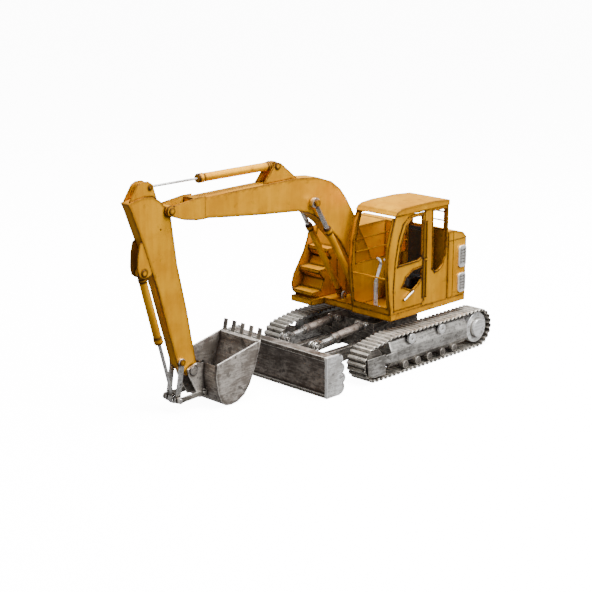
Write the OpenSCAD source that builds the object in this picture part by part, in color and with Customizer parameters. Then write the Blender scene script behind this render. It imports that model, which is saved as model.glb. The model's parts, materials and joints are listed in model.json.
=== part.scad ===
// Model of a tracked excavator in painted and burnished sheet metal.
// Millimetres. +X points forward (bucket end), +Y to the cab side, +Z up.
// Every piece is drawn in the machine's own frame, whose X = 0 is the slewing axis, and
// machine() then moves it so that the origin is the middle of the model's footprint.

/* [Tracks] */
// Overall width across both tracks
track_out = 153; // [150:1:172]
// Width of one track band
track_w = 25.5; // [24.5:0.5:28]
// Front idler centre, forward of the slewing axis
idler_x = 86; // [78:1:94]
// Rear sprocket centre, behind the slewing axis
sprocket_x = 93; // [88:1:110]
// Outer radius of the band round the front idler
front_wrap = 20; // [19.5:0.5:21]
// Outer radius of the band round the rear sprocket
rear_wrap = 22.5; // [22:0.5:22.5]
// Where the sloping front stretch of the band meets its level top run
ramp_x = 56; // [48:1:60]
// Length of one fold of the corrugated band
fold_pitch = 7; // [5:0.5:10]
// Depth of the folds
fold_depth = 2.2; // [1.5:0.1:2.4]
// Thickness of the band's sheet
band_t = 1.1; // [0.8:0.1:1.3]

/* [Undercarriage] */
// Width of the eight-sided track frame tube
tube_w = 19; // [17:0.5:19.5]
// Top of the track frame tube
tube_top = 37; // [34:0.5:38]
// Underside of the track frame tube
tube_bottom = 9; // [8:0.5:10]
// Radius of the return rollers
return_r = 5.5; // [4.5:0.5:5.5]
// Radius of the bright hub disc on each sprocket
hub_r = 10.5; // [8:0.5:13]
// Height of the centre box's top
chassis_top = 46; // [45.5:0.5:47]
// Width of the centre box
chassis_w = 62; // [58:1:70]

/* [Blade] */
// Height of the blade's top lip
blade_h = 45; // [38:1:48]
// Front of the blade, forward of the slewing axis
blade_x = 163; // [158:1:168]
// Thickness of each end cheek
cheek_t = 2.5; // [2:0.5:4]
// Distance of each push arm from the centre line
blade_arm_y = 22; // [20:0.5:24]
// Radius of the blade cylinders' barrels
blade_barrel_r = 4.6; // [4:0.1:4.8]
// Radius of the blade cylinders' rods
blade_rod_r = 2.6; // [2:0.1:3]

/* [House] */
// Underside of the deck
deck_z = 57; // [56.5:0.5:60]
// Thickness of the deck
deck_t = 7; // [5:0.5:9]
// Back of the house, behind the slewing axis
house_back = 80; // [72:1:92]
// Cab side of the house, measured from the centre line
cab_side = 63.5; // [60:0.5:68]
// Inner side of the cab, measured from the centre line
cab_inner = 7; // [5:0.5:12]
// Thickness of the sheet of the cab and the covers
sheet = 1.6; // [1.2:0.1:2]
// Height of the cab's side panels above the ground
cab_wall_top = 172; // [168:1:184]
// Height of the crown of the cab roof above its side panels
roof_rise = 8; // [6:0.5:10]
// Height of the engine cover above the ground
cover_top = 141; // [130:1:142]
// Gap round the door
door_gap = 0.6; // [0.4:0.1:0.9]

/* [Boom and arm] */
// Width of the boom's box
boom_w = 19; // [17:0.5:19]
// Width of the arm's box
arm_w = 12; // [10:0.5:12.5]
// Radius of the boom cylinders' barrels
boom_barrel_r = 3.7; // [3.2:0.1:3.7]
// Radius of the boom cylinders' rods
boom_rod_r = 2.6; // [1.8:0.1:2.8]
// Radius of the arm cylinder's barrel
arm_barrel_r = 4.4; // [3.6:0.1:4.8]
// Radius of the arm cylinder's rod
arm_rod_r = 1.2; // [1:0.1:2.4]
// Radius of the bucket cylinder's rod
bucket_rod_r = 1.9; // [1.4:0.1:2.4]
// Radius of the bucket cylinder's barrel
bucket_barrel_r = 4.2; // [3.6:0.1:4.4]

/* [Bucket] */
// Outside width of the bucket
bucket_w = 59.6; // [48:0.2:70]
// Thickness of the bucket's sheet
bucket_t = 1.6; // [1.2:0.1:2]
// Width of one tooth
tooth_w = 6; // [4:0.5:8]
// Length of the teeth beyond the lip
tooth_l = 12; // [8:0.5:16]

/* [Hidden] */

$fn = 48;
eps = 0.01;

// Paint and metal colours
yellow = "goldenrod";
steel = "rosybrown";
dark_steel = "dimgray";
bright = "silver";
black = "black";

// Radial clearance of a shaft that turns or slides in its hole
run = 0.05;
// Gap between plates that pass each other
side_gap = 0.3;
// How far a cylinder's end collar stands out from its barrel
collar = 0.5;

// Track layout
track_y = (track_out - track_w) / 2;
band_in = fold_depth + band_t;
wheel_gap = 0.7;
idler_r = front_wrap - band_in - wheel_gap;
sprocket_r = rear_wrap - band_in - 1.7;
wheel_w = 16;
wheel_axle_r = 3;
sprocket_axle_r = 4;
tube_back = -sprocket_x + sprocket_r + 1.5;
tube_front = idler_x - idler_r - 12;
tube_flat_low = tube_bottom + 6;
tube_flat_high = tube_top - 10;
tube_narrow = tube_w / 2 - 4.5;
guard_t = 1.5;
roller_xs = [35, 14, -6, -29, -50];
roller_r = 4.3;
return_xs = [26, -26];
return_axle_r = 2;
return_z = 2 * rear_wrap - band_in - 0.5 - return_r;
return_y = track_w / 2 - 4.4;
return_t = 3.6;

// Slewing ring and king pin
ring_r = 32;
ring_z = 51.8;
king_r = 12;
king_bottom = 38;

// Blade layout: hinge, cylinder pins, and the blade's own shape
blade_hinge = [46, 20];
blade_foot = [48, 44.5];
blade_eye = [125.5, 37.5];
blade_pin_r = 3;
blade_eye_pin_r = 1.8;
blade_low = 0.6;
blade_t = 3;
blade_hollow = 4;
arm_t = 7;
blade_ear_in = blade_barrel_r + collar + side_gap;
lug_t = 3;
hinge_lug_y = blade_arm_y - (arm_t + lug_t) / 2 - side_gap;
foot_lug_y = blade_arm_y - blade_ear_in - lug_t / 2;

// Points of the boom, arm and bucket linkage in the machine's X and Z
boom_pivot = [3, 74];
boom_pin_r = 3;
boom_feet = [32, 68.5];
boom_eye = [104, 187.5];
arm_cyl_base = [153, 232];
arm_pivot = [299.5, 207];
arm_cyl_eye = [321, 232];
bucket_cyl_base = [331.5, 150.5];
rocker_pivot = [288, 51];
link_pin = [294.5, 13.5];
bucket_pivot = [276, 40.5];
bucket_ear_pin = [263.5, 15];
pin_r = 2;
cheek_plate_t = 1.6;
arm_pin_r = 2.5;
// Middle of each front bracket plate, which stands clear of the bucket cylinder's barrel
bracket_gap = 0.2;
front_plate_y = max(arm_w / 2, bucket_barrel_r + bracket_gap + cheek_plate_t) - cheek_plate_t / 2;
// Thickness and radius of the heads on the upper cylinders' base pins
base_head_t = 1;
base_head_r = 3.2;
boom_cyl_y = boom_w / 2 + side_gap + collar + boom_barrel_r;
// Middle plane of the boom, arm and bucket: its left cylinder just clears the cab
boom_y = cab_inner - side_gap - collar - boom_barrel_r - boom_cyl_y;

// Barrel lengths, and where each sliding rod starts inside its barrel
blade_barrel_len = 50;
boom_barrel_len = 104;
arm_barrel_len = 104;
bucket_barrel_len = 79;
rod_inside = 40;

// Layers of the bucket linkage, measured from the middle plane
rocker_in = arm_w / 2 + side_gap;
rocker_t = 1.7;
ear_in = rocker_in + rocker_t + side_gap;
ear_t = 2;
link_in = ear_in + ear_t + side_gap;
link_t = 1.7;

// Front and back ends of the model, and the middle between them
bracket_reach = 49;
x_front = arm_pivot[0] + bracket_reach;
x_back = -sprocket_x - rear_wrap;
x_mid = (x_front + x_back) / 2;

// Cab and cover outlines in X and Z
cab_floor = deck_z + deck_t;
cab_back = -46.5;
cab_outline = [
    [cab_back, cab_floor], [49.5, cab_floor], [53, 82], [56, 113], [54, 140], [48.5, 160],
    [43.5, cab_wall_top], [cab_back, cab_wall_top]
];
roof_outline = [
    [cab_back - 0.8, cab_wall_top], [45, cab_wall_top], [41, cab_wall_top + 0.55 * roof_rise],
    [35, cab_wall_top + 0.85 * roof_rise], [20, cab_wall_top + roof_rise],
    [-20, cab_wall_top + roof_rise], [cab_back - 0.8, cab_wall_top + 0.75 * roof_rise]
];
door_outline = [
    [-5, 71], [-2, 67.5], [44, 67.5], [45.5, 90], [43, 122], [38, 145], [31, 161], [22, 168],
    [12, 170.5], [-5, 170.5]
];
door_window = [
    [-2, 120], [4, 117], [39.5, 116], [35, 140], [26, 160], [18, 167], [12, 168], [-2, 168]
];
door_low_window = [
    [14, 84.5], [32, 92], [26, 102], [14, 109], [-2, 110], [-2, 96], [4, 90]
];
rear_window = [
    [-18, 170], [-44, 170], [-44.3, 132], [-43, 115], [-38, 105], [-31, 100], [-24, 99],
    [-19, 104]
];
hinge_x = -8.3;
hinge_y = cab_side + 1.3;
hinge_r = 1;
cover_outline = [
    [-house_back, cab_floor], [cab_back - 1, cab_floor], [cab_back - 1, cover_top],
    [-60, cover_top], [-house_back + 6, cover_top - 4], [-house_back, cover_top - 10]
];

// Right-hand side: tank behind, steps in front
right_out = 74;
step_in = 42;
tank_front = 20;
tank_in = boom_y - boom_w / 2 - 8;
// Treads with lips that overhang slanting recesses
step_outline = [
    [tank_front, cab_floor], [50, cab_floor], [62, 67.5], [62, 71.5], [48, 72.5], [43, 84],
    [50.5, 91.5], [50.5, 95.5], [36.5, 96.5], [31.5, 107], [36.5, 114], [36.5, 118], [27, 119],
    [tank_front, 141]
];
guard_outline = [
    [tank_front, cab_floor + eps], [56, cab_floor + eps], [62, 70], [63, 78], [60, 88], [52, 100],
    [44, 112], [38, 126], [35, 137], [tank_front, 141]
];

// Outline of the boom's box, anticlockwise from the foot's underside
boom_outline = [
    [-4, 67], [14, 67], [59, 137], [83, 160], [98, 171], [110, 177], [124, 180.5], [179, 185],
    [228, 190], [267, 194.5], [267, 214], [186, 215.5], [128, 216], [95, 213], [74, 206],
    [60, 196], [50, 184], [39, 167], [13, 121], [-6.5, 80]
];
nose_outline = [
    [256, 192.8], [268, 193.2], [284, 196], [300, 201.6], [303, 211], [268, 215.6], [256, 215.6]
];

// Outline of the arm's box, anticlockwise from its tip
arm_outline = [
    [269.5, 36], [281, 35], [292, 48], [299, 72], [316, 132], [330, 174], [346, 216], [x_front, 220],
    [340, 222.5], [328, 224.2], [318, 223], [309, 217.5], [297, 203], [290, 152], [279, 104],
    [272, 66], [267.5, 44]
];
top_bracket = [
    [311, 215], [330, 218], [347, 217], [345.5, 222], [336, 236], [331, 238.5], [323, 238.5],
    [317.5, 235]
];
front_bracket = [
    [322, 147], [327, 145.2], [333, 144.8], [338, 148.5], [339.5, 156], [338.5, 170], [336, 180],
    [331, 184], [325, 176]
];

// Outline of the bucket's side, anticlockwise from the back of its mouth
bucket_outline = [
    [261, 47], [200.5, 60], [203, 50], [209, 33], [216, 17], [224, 7], [234, 1.8], [243, 0.6],
    [250, 1.6], [256, 7], [260, 17], [262.5, 33]
];

// ---------------------------------------------------------------- helpers

// Points of an outline moved in by g along its inward side; the outline runs anticlockwise
function inset(p, g) = [
    for (i = [0 : len(p) - 1])
        let (
            n = len(p),
            u = (p[i] - p[(i + n - 1) % n]) / norm(p[i] - p[(i + n - 1) % n]),
            v = (p[(i + 1) % n] - p[i]) / norm(p[(i + 1) % n] - p[i]),
            a = [-u[1], u[0]],
            b = [-v[1], v[0]]
        )
        p[i] + g * (a + b) / (1 + a * b)
];

// Point of the track band's outer line at distance s, with its inward normal:
// along the ground, round the idler, up the ramp, along the top, round the sprocket
ramp_top = [ramp_x, 2 * rear_wrap];
ramp_reach = norm(ramp_top - [idler_x, front_wrap]);
ramp_turn = atan2(ramp_top[1] - front_wrap, ramp_x - idler_x) - acos(front_wrap / ramp_reach);
ramp_foot = [idler_x, front_wrap] + front_wrap * [cos(ramp_turn), sin(ramp_turn)];
ramp_len = norm(ramp_top - ramp_foot);
ramp_dir = (ramp_top - ramp_foot) / ramp_len;
run_1 = idler_x + sprocket_x;
run_2 = run_1 + front_wrap * (ramp_turn + 90) * PI / 180;
run_3 = run_2 + ramp_len;
run_4 = run_3 + ramp_x + sprocket_x;
band_len = run_4 + PI * rear_wrap;
function arc_spot(c, r, a) = [c[0] + r * cos(a), c[1] + r * sin(a), -cos(a), -sin(a)];
function band_spot(s) =
    s < run_1 ? [s - sprocket_x, 0, 0, 1]
    : s < run_2 ? arc_spot([idler_x, front_wrap], front_wrap, (s - run_1) / front_wrap * 180 / PI - 90)
    : s < run_3 ? [
        ramp_foot[0] + ramp_dir[0] * (s - run_2), ramp_foot[1] + ramp_dir[1] * (s - run_2),
        -ramp_dir[1], ramp_dir[0]
    ]
    : s < run_4 ? [ramp_x - (s - run_3), 2 * rear_wrap, 0, -1]
    : arc_spot([-sprocket_x, rear_wrap], rear_wrap, 90 + (s - run_4) / rear_wrap * 180 / PI);
fold_count = round(band_len / fold_pitch);
// Start and end of a fold's flat crest, and its valley, as shares of one fold
fold_spots = [0, 0.3, 0.65];
function band_line(depth) = [
    for (i = [0 : fold_count - 1], k = [0 : 2])
        let (
            q = band_spot((i + fold_spots[k]) * band_len / fold_count),
            d = depth + (k == 2 ? fold_depth : 0)
        )
        [q[0] + d * q[2], q[1] + d * q[3]]
];

// Moves a piece from the machine's frame to the model's origin, in its colour
module machine(paint) translate([-x_mid, 0, 0]) color(paint) children();

// Stands a profile drawn in X and Z up across the machine, centred on y
module across(width, y = 0)
    translate([0, y + width / 2, 0]) rotate([90, 0, 0]) linear_extrude(width) children();

// Round bar across the machine at point p
module cross_bar(p, r, width, y = 0) across(width, y) translate(p) circle(r);

// Box from its low corner to its high corner
module block(low, high) translate(low) cube(high - low);

// Turns local X along the line from p to q, at y
module along(p, q, y)
    translate([p[0], y, p[1]]) rotate([0, -atan2(q[1] - p[1], q[0] - p[0]), 0]) children();

// Round bar along local X
module rod_x(r, x0, x1) translate([x0, 0, 0]) rotate([0, 90, 0]) cylinder(r = r, h = x1 - x0);

// Cylinder barrel that turns on a pin at p and points at q, with a deep bore for its rod
module ram_barrel(p, q, y, len, r, rod_r, eye_r, eye_w, hole_r) along(p, q, y) difference() {
    union() {
        rod_x(r, eye_r - 1, len);
        rod_x(r + collar, len - 7, len - 1);
        rod_x(r + 0.35, eye_r + 2, eye_r + 5);
        rotate([90, 0, 0]) cylinder(r = eye_r, h = eye_w, center = true);
    }
    rod_x(rod_r + run, eye_r + 4, len + 1);
    rotate([90, 0, 0]) cylinder(r = hole_r, h = eye_w + 1, center = true);
}

// Rod that slides in a barrel pinned at p and ends in an eye at q
module ram_rod(p, q, y, inside, r, eye_r, eye_w, hole_r) along(p, q, y) difference() {
    union() {
        rod_x(r, inside, norm(q - p) - hole_r);
        rotate([90, 0, 0]) translate([norm(q - p), 0, 0]) cylinder(r = eye_r, h = eye_w, center = true);
    }
    rotate([90, 0, 0]) translate([norm(q - p), 0, 0]) cylinder(r = hole_r, h = eye_w + 1, center = true);
}

// Straight link with round ends at p and q, drawn in X and Z
module link_shape(p, q, r) {
    translate(p) circle(r);
    translate(q) circle(r);
    translate(p) rotate(atan2(q[1] - p[1], q[0] - p[0])) translate([0, -0.75 * r])
        square([norm(q - p), 1.5 * r]);
}

// ---------------------------------------------------------------- tracks

module tube_section() polygon([
    [-tube_w / 2, tube_flat_low], [-tube_narrow, tube_bottom], [tube_narrow, tube_bottom],
    [tube_w / 2, tube_flat_low], [tube_w / 2, tube_flat_high], [tube_narrow, tube_top],
    [-tube_narrow, tube_top], [-tube_w / 2, tube_flat_high]
]);

module tube_solid(y)
    translate([tube_back, y, 0]) rotate([90, 0, 90]) linear_extrude(tube_front - tube_back) tube_section();

// Track frame: tube, sprocket carrier and axle on the inner side, and return roller posts
module track_frame(side) machine(dark_steel) {
    y = side * track_y;
    carrier_y = y - side * (tube_w / 2 + 1);
    axle = [-sprocket_x, rear_wrap];
    union() {
        tube_solid(y);
        across(2, carrier_y) union() {
            translate(axle) circle(hub_r);
            translate([-sprocket_x, tube_flat_low]) square([26 + sprocket_r, tube_flat_high - tube_flat_low]);
        }
        cross_bar(
            axle, sprocket_axle_r, (tube_w + wheel_w) / 2 - 1, y - side * ((tube_w - wheel_w) / 4 + 0.5)
        );
        for (x = return_xs) {
            post_y = y + side * 5;
            block([x - 3, min(y, post_y), tube_top - eps], [x + 3, max(y, post_y), return_z + return_axle_r]);
            cross_bar(
                [x, return_z], return_axle_r, return_y + return_t - 1,
                y + side * (1 + return_y + return_t) / 2
            );
        }
    }
}

module track_band(side) machine(steel) across(track_w, side * track_y) difference() {
    polygon(band_line(0));
    polygon(band_line(band_t));
}

// Half rollers welded under the track frame
module track_rollers(side) machine(dark_steel) difference() {
    for (x = roller_xs) cross_bar([x, band_in + 0.3 + roller_r], roller_r, track_w - 4, side * track_y);
    tube_solid(side * track_y);
}

// Plates that carry the front idler, with the idler's axle between them
module idler_guards(side) machine(dark_steel) {
    y = side * track_y;
    for (s = [-1, 1]) across(guard_t, y + s * (tube_w + guard_t) / 2) union() {
        translate([tube_front - 8, tube_flat_low + 1])
            square([idler_x - tube_front, tube_flat_high - tube_flat_low - 2]);
        polygon([
            [idler_x - 17, 5], [idler_x + 2, 5], [idler_x + 10, 8.5], [idler_x + 12, 27], [idler_x - 17, 27]
        ]);
    }
    cross_bar([idler_x, front_wrap], wheel_axle_r, tube_w, y);
}

module idler(side) machine(dark_steel)
    across(wheel_w, side * track_y) translate([idler_x, front_wrap]) difference() {
        circle(idler_r);
        circle(wheel_axle_r + run);
    }

// Drive wheel with a toothless rim and a bright hub disc on the outside
module sprocket(side) machine(bright) {
    y = side * track_y;
    hub_w = track_w / 2 - wheel_w / 2 - 0.3;
    difference() {
        union() {
            cross_bar([-sprocket_x, rear_wrap], sprocket_r, wheel_w, y);
            cross_bar([-sprocket_x, rear_wrap], hub_r, hub_w, y + side * (wheel_w + hub_w) / 2);
        }
        cross_bar([-sprocket_x, rear_wrap], sprocket_axle_r + run, wheel_w, y - side * 0.5);
    }
}

module return_roller(side, i) machine(bright)
    across(return_t, side * (track_y + return_y + return_t / 2))
        translate([return_xs[i], return_z]) difference() {
            circle(return_r);
            circle(return_axle_r + run);
        }

// ---------------------------------------------------------------- chassis

module chassis_frame() machine(dark_steel) difference() {
    union() {
        block([-36, -chassis_w / 2, 14], [40, chassis_w / 2, chassis_top]);
        for (x = [-44, 14]) block(
            [x, -track_y + tube_w / 2, tube_flat_low], [x + 20, track_y - tube_w / 2, tube_flat_high]
        );
        for (s = [-1, 1]) {
            across(lug_t, s * hinge_lug_y) union() {
                translate([40 - eps, 14]) square([blade_hinge[0] - 40, 12]);
                translate(blade_hinge) circle(6);
            }
            across(lug_t, s * foot_lug_y) union() {
                translate([40 - eps, 40]) square([blade_foot[0] - 40, 6]);
                translate(blade_foot) circle(4.5);
            }
        }
    }
    translate([0, 0, king_bottom - 1]) cylinder(r = king_r + run, h = chassis_top);
    for (s = [-1, 1]) {
        cross_bar(blade_hinge, blade_pin_r, lug_t + eps, s * hinge_lug_y);
        cross_bar(blade_foot, pin_r, lug_t + eps, s * foot_lug_y);
    }
}

module swing_ring() machine(dark_steel) difference() {
    translate([0, 0, chassis_top]) cylinder(r = ring_r, h = ring_z - chassis_top);
    translate([0, 0, chassis_top - 1]) cylinder(r = king_r + run, h = 20);
}

// Hinge pins of the push arms and foot pins of the blade cylinders, with outer heads
module blade_hinge_pins() machine(bright) for (s = [-1, 1]) {
    inner = blade_arm_y - arm_t / 2 - side_gap - lug_t;
    outer = blade_arm_y + arm_t / 2 + side_gap;
    cross_bar(blade_hinge, blade_pin_r, outer - inner, s * (outer + inner) / 2);
    cross_bar(blade_hinge, 5, 1.5, s * (outer + 0.75));
    cross_bar(blade_foot, pin_r, 2 * blade_ear_in + lug_t, s * (blade_arm_y - lug_t / 2));
    cross_bar(blade_foot, 3.5, 1.5, s * (blade_arm_y + blade_ear_in + 0.75));
}

// ---------------------------------------------------------------- blade

blade_steps = 8;
blade_lip_t = 5;
blade_edge_t = 4;
blade_rise = blade_h - blade_lip_t - blade_edge_t - blade_low;
blade_face = [
    for (i = [0 : blade_steps]) [
        blade_x - 2 - blade_hollow * sin(180 * i / blade_steps),
        blade_low + blade_edge_t + blade_rise * i / blade_steps
    ]
];
module blade_plate() machine(dark_steel) across(track_out - 2 * cheek_t) union() {
    polygon(concat(blade_face, [for (i = [blade_steps : -1 : 0]) blade_face[i] - [blade_t, 0]]));
    translate([blade_x - 12, blade_h - blade_lip_t]) square([12, blade_lip_t]);
    translate([blade_x - 7, blade_low]) square([7, blade_edge_t]);
}

// End cheeks with a wavy welded rim
module blade_cheeks() machine(bright)
    for (s = [-1, 1]) across(cheek_t, s * (track_out - cheek_t) / 2) union() {
        translate([blade_x - 20, blade_low]) square([20, blade_h - blade_low]);
        for (q = [[19, 39, 5.5], [21, 29, 6], [22.5, 18, 6], [20, 8.2, 7], [12, 6.6, 6]])
            translate([blade_x - q[0], q[1]]) circle(q[2]);
    }

module blade_arms() machine(dark_steel) for (s = [-1, 1]) difference() {
    union() {
        across(arm_t, s * blade_arm_y) union() {
            translate(blade_hinge) circle(6);
            polygon([blade_hinge + [0, -6], [blade_x - 9.5, 6], [blade_x - 9.5, 26], blade_hinge + [0, 6]]);
        }
        across(3, s * blade_arm_y) union() {
            translate(blade_eye) circle(4.5);
            translate([blade_eye[0] - 4.5, 22]) square([9, blade_eye[1] - 22]);
        }
        cross_bar(blade_eye, blade_eye_pin_r, arm_t + 4, s * blade_arm_y);
    }
    cross_bar(blade_hinge, blade_pin_r + run, arm_t + 1, s * blade_arm_y);
}

module blade_barrel(side) machine(steel) ram_barrel(
    blade_foot, blade_eye, side * blade_arm_y, blade_barrel_len, blade_barrel_r, blade_rod_r, 4.4,
    2 * blade_barrel_r, pin_r + run
);

// Rod that ends in a fork of two rings, one on each side of the push arm's lug
module blade_rod(side) machine(bright) along(blade_foot, blade_eye, side * blade_arm_y) {
    reach = norm(blade_eye - blade_foot);
    difference() {
        union() {
            rod_x(blade_rod_r, 24, reach - 9);
            translate([reach - 11, -4.5, -3]) cube([5, 9, 6]);
            for (s = [-1, 1]) {
                translate([reach, s * 3.4, 0]) rotate([90, 0, 0]) cylinder(r = 5, h = 2.2, center = true);
                translate([reach - 8, s * 3.4 - 1.1, -3]) cube([6, 2.2, 6]);
            }
        }
        translate([reach, 0, 0]) rotate([90, 0, 0])
            cylinder(r = blade_eye_pin_r + 0.9, h = 12, center = true);
    }
}

// ---------------------------------------------------------------- house

module turntable() machine(dark_steel) {
    translate([0, 0, 52]) cylinder(r = ring_r - 2, h = deck_z - 52);
    translate([0, 0, king_bottom]) cylinder(r = king_r, h = 52 - king_bottom + eps);
}

module deck() machine(yellow) translate([0, 0, deck_z]) linear_extrude(deck_t) polygon([
    [-house_back, -right_out], [63, -right_out], [63, -step_in], [46, -step_in + 4],
    [46, cab_inner - 1], [49.5, cab_inner], [49.5, cab_side], [-house_back, cab_side]
]);

module cab_shell() machine(yellow) {
    width = cab_side - cab_inner;
    middle = (cab_side + cab_inner) / 2;
    difference() {
        across(width, middle) polygon(cab_outline);
        across(width - 2 * sheet, middle) polygon(inset(concat(
            [[cab_back, cab_floor - 8]], [[49.5, cab_floor - 8]],
            [for (i = [2 : 5]) cab_outline[i]], [[43.5, cab_wall_top + 8], [cab_back, cab_wall_top + 8]]
        ), sheet));
        // Front opening, rear window, right-hand window
        block([30, cab_inner + 5, 71.5], [70, cab_side - 4.5, 170]);
        block([cab_back - 1, cab_inner + 6, cover_top + 3], [cab_back + 4, cab_side - 6, 168]);
        across(6, cab_inner) polygon([[-40, 112], [45, 112], [46, 130], [42, 150], [36, 168], [-40, 168]]);
        // Door opening and left rear window
        across(6, cab_side) polygon(inset(door_outline, -door_gap));
        across(6, cab_side) polygon([for (i = [len(rear_window) - 1 : -1 : 0]) rear_window[i]]);
    }
}

module cab_roof() machine(yellow) {
    width = cab_side - cab_inner + 1.4;
    middle = (cab_side + cab_inner) / 2;
    difference() {
        across(width, middle) polygon(roof_outline);
        across(width - 2 * sheet, middle) polygon(inset(concat(
            [[cab_back - 0.8, cab_wall_top - 5], [45, cab_wall_top - 5]],
            [for (i = [2 : 6]) roof_outline[i]]
        ), sheet));
    }
}

// Thin bars across the windows
module window_rails() machine(yellow) {
    bar = 0.8;
    front = cab_side - cab_inner - 2 * sheet;
    middle = (cab_side + cab_inner) / 2;
    cross_bar([54.9 - sheet - bar, 104], bar, front, middle);
    for (z = [154, 164]) cross_bar([cab_back + sheet + bar, z], bar, front, middle);
    for (z = [125, 139]) translate([0, cab_inner + sheet + bar, z]) rod_x(bar, -42, 47);
}

module seat() machine(black) across(26, 35) union() {
    translate([-30, cab_floor]) square([24, 18]);
    translate([0, cab_floor]) polygon([
        [-34, 18], [0, 18], [4, 22], [2, 29], [-22, 29], [-27, 44], [-28, 78], [-31, 81], [-36, 80], [-36, 30]
    ]);
}

// Column on the cab floor with two curved handles
module control_levers() machine(bright) translate([38, 32, cab_floor]) {
    cylinder(r = 5, h = 2);
    translate([0, 0, 2 - eps]) cylinder(r = 2.4, h = 30);
    translate([0, 0, 31]) rotate([0, -22, 0]) cylinder(r = 1.8, h = 20);
    for (s = [-1, 1]) translate([-7, s * 5.2, 49]) rotate([90, 0, 0]) rotate([0, 90, 0])
        rotate_extrude(angle = 90) translate([5.5, 0]) circle(1.3);
}

module engine_cover() machine(yellow) {
    width = right_out + cab_side;
    middle = (cab_side - right_out) / 2;
    difference() {
        across(width, middle) polygon(cover_outline);
        across(width - 2 * sheet, middle) polygon(inset(concat(
            [[-house_back, cab_floor - 6], [cab_back - 1, cab_floor - 6]],
            [for (i = [2 : 5]) cover_outline[i]]
        ), sheet));
    }
}

// Two bright louvred frames on the rear corner
module lamp_shape(low, high) translate([-house_back + 8, (low + high) / 2]) {
    square([13, high - low - 8], center = true);
    square([5, high - low], center = true);
    for (x = [-2.5, 2.5], z = [low - high + 8, high - low - 8]) translate([x, z / 2]) circle(4);
}
module side_lamps() machine(bright) for (z = [[97, 122], [68, 90]]) difference() {
    across(1.8, cab_side + 0.9) lamp_shape(z[0], z[1]);
    for (k = [-2 : 2]) across(2, cab_side + 1.6)
        translate([-house_back + 8, (z[0] + z[1]) / 2 + k * 3.4]) square([7, 1.4], center = true);
}

module side_tank() machine(yellow) difference() {
    block([cab_back - 1 + eps, -right_out, cab_floor], [tank_front, tank_in, cover_top]);
    block(
        [cab_back - 1 + sheet, -right_out + sheet, cab_floor - 1],
        [tank_front - sheet, tank_in - sheet, cover_top - sheet]
    );
}

// Stepped tool box in front of the tank, with recesses under its treads and a curved guard outside
module step_box() machine(yellow) {
    width = right_out - sheet - step_in;
    difference() {
        across(width, -step_in - width / 2) polygon(step_outline);
        block([tank_front + sheet, -right_out + 2 * sheet, cab_floor - 1], [32, -step_in - sheet, 112]);
    }
    across(sheet, -right_out + sheet / 2) polygon(guard_outline);
}

// Pair of ears on the deck that hold the boom, and small lugs that hold its cylinders
foot_in = boom_w / 2 + side_gap;
module boom_foot() machine(dark_steel) difference() {
    union() {
        for (s = [-1, 1]) across(3, boom_y + s * (foot_in + 1.5)) union() {
            translate(boom_pivot) circle(9);
            polygon([[-12, cab_floor], [19, cab_floor], boom_pivot + [9, 0], boom_pivot + [-9, 0]]);
        }
        for (s = [-1, 1]) across(1.8, boom_y + s * (boom_cyl_y - boom_barrel_r - 0.9)) union() {
            translate(boom_feet) circle(4);
            translate([boom_feet[0] - 4, cab_floor]) square([8, boom_feet[1] - cab_floor]);
        }
    }
    cross_bar(boom_pivot, boom_pin_r, 60, boom_y);
    cross_bar(boom_feet, pin_r, 60, boom_y);
}

module boom_foot_pin() machine(bright) {
    width = 2 * (foot_in + 3);
    cross_bar(boom_pivot, boom_pin_r, width, boom_y);
    for (s = [-1, 1]) cross_bar(boom_pivot, 5, 1.2, boom_y + s * (width / 2 + 0.6));
    for (s = [-1, 1]) cross_bar(boom_feet, pin_r, 2 * boom_barrel_r + 1.8, boom_y + s * (boom_cyl_y - 0.9));
}

// ---------------------------------------------------------------- door

module cab_door() machine(yellow) {
    difference() {
        across(sheet, cab_side - sheet / 2) polygon(door_outline);
        across(sheet + 1, cab_side - sheet / 2) polygon(door_window);
        across(sheet + 1, cab_side - sheet / 2) polygon(door_low_window);
    }
    for (z = [74, 118]) {
        translate([hinge_x, hinge_y, z]) cylinder(r = hinge_r, h = 42);
        block([hinge_x, cab_side, z], [-3, cab_side + 0.7, z + 42]);
    }
}

module door_handle() machine(bright) along([30, 77.5], [14, 85.5], cab_side + 2.2) {
    rod_x(1.2, 0, 17.9);
    for (x = [1.2, 16.7]) translate([x, -2.2, 0]) rotate([-90, 0, 0]) cylinder(r = 1, h = 2.2);
}

// ---------------------------------------------------------------- boom

module boom_shell() machine(yellow) difference() {
    union() {
        difference() {
            across(boom_w, boom_y) polygon(boom_outline);
            across(boom_w - 2 * sheet, boom_y) polygon(inset(boom_outline, sheet));
        }
        cross_bar(boom_pivot, boom_pin_r + 2.5, boom_w, boom_y);
        cross_bar(boom_eye, pin_r + 2, boom_w, boom_y);
    }
    cross_bar(boom_pivot, boom_pin_r + run, boom_w + 1, boom_y);
    cross_bar(boom_eye, pin_r, boom_w + 1, boom_y);
}

// Cheek plates of the nose, which fork round the arm
module boom_nose() machine(yellow) for (s = [-1, 1])
    across(cheek_plate_t, boom_y + s * (boom_w + cheek_plate_t) / 2) difference() {
        union() {
            polygon(nose_outline);
            translate(arm_pivot) circle(5.6);
        }
        translate(arm_pivot) circle(arm_pin_r);
    }

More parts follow.
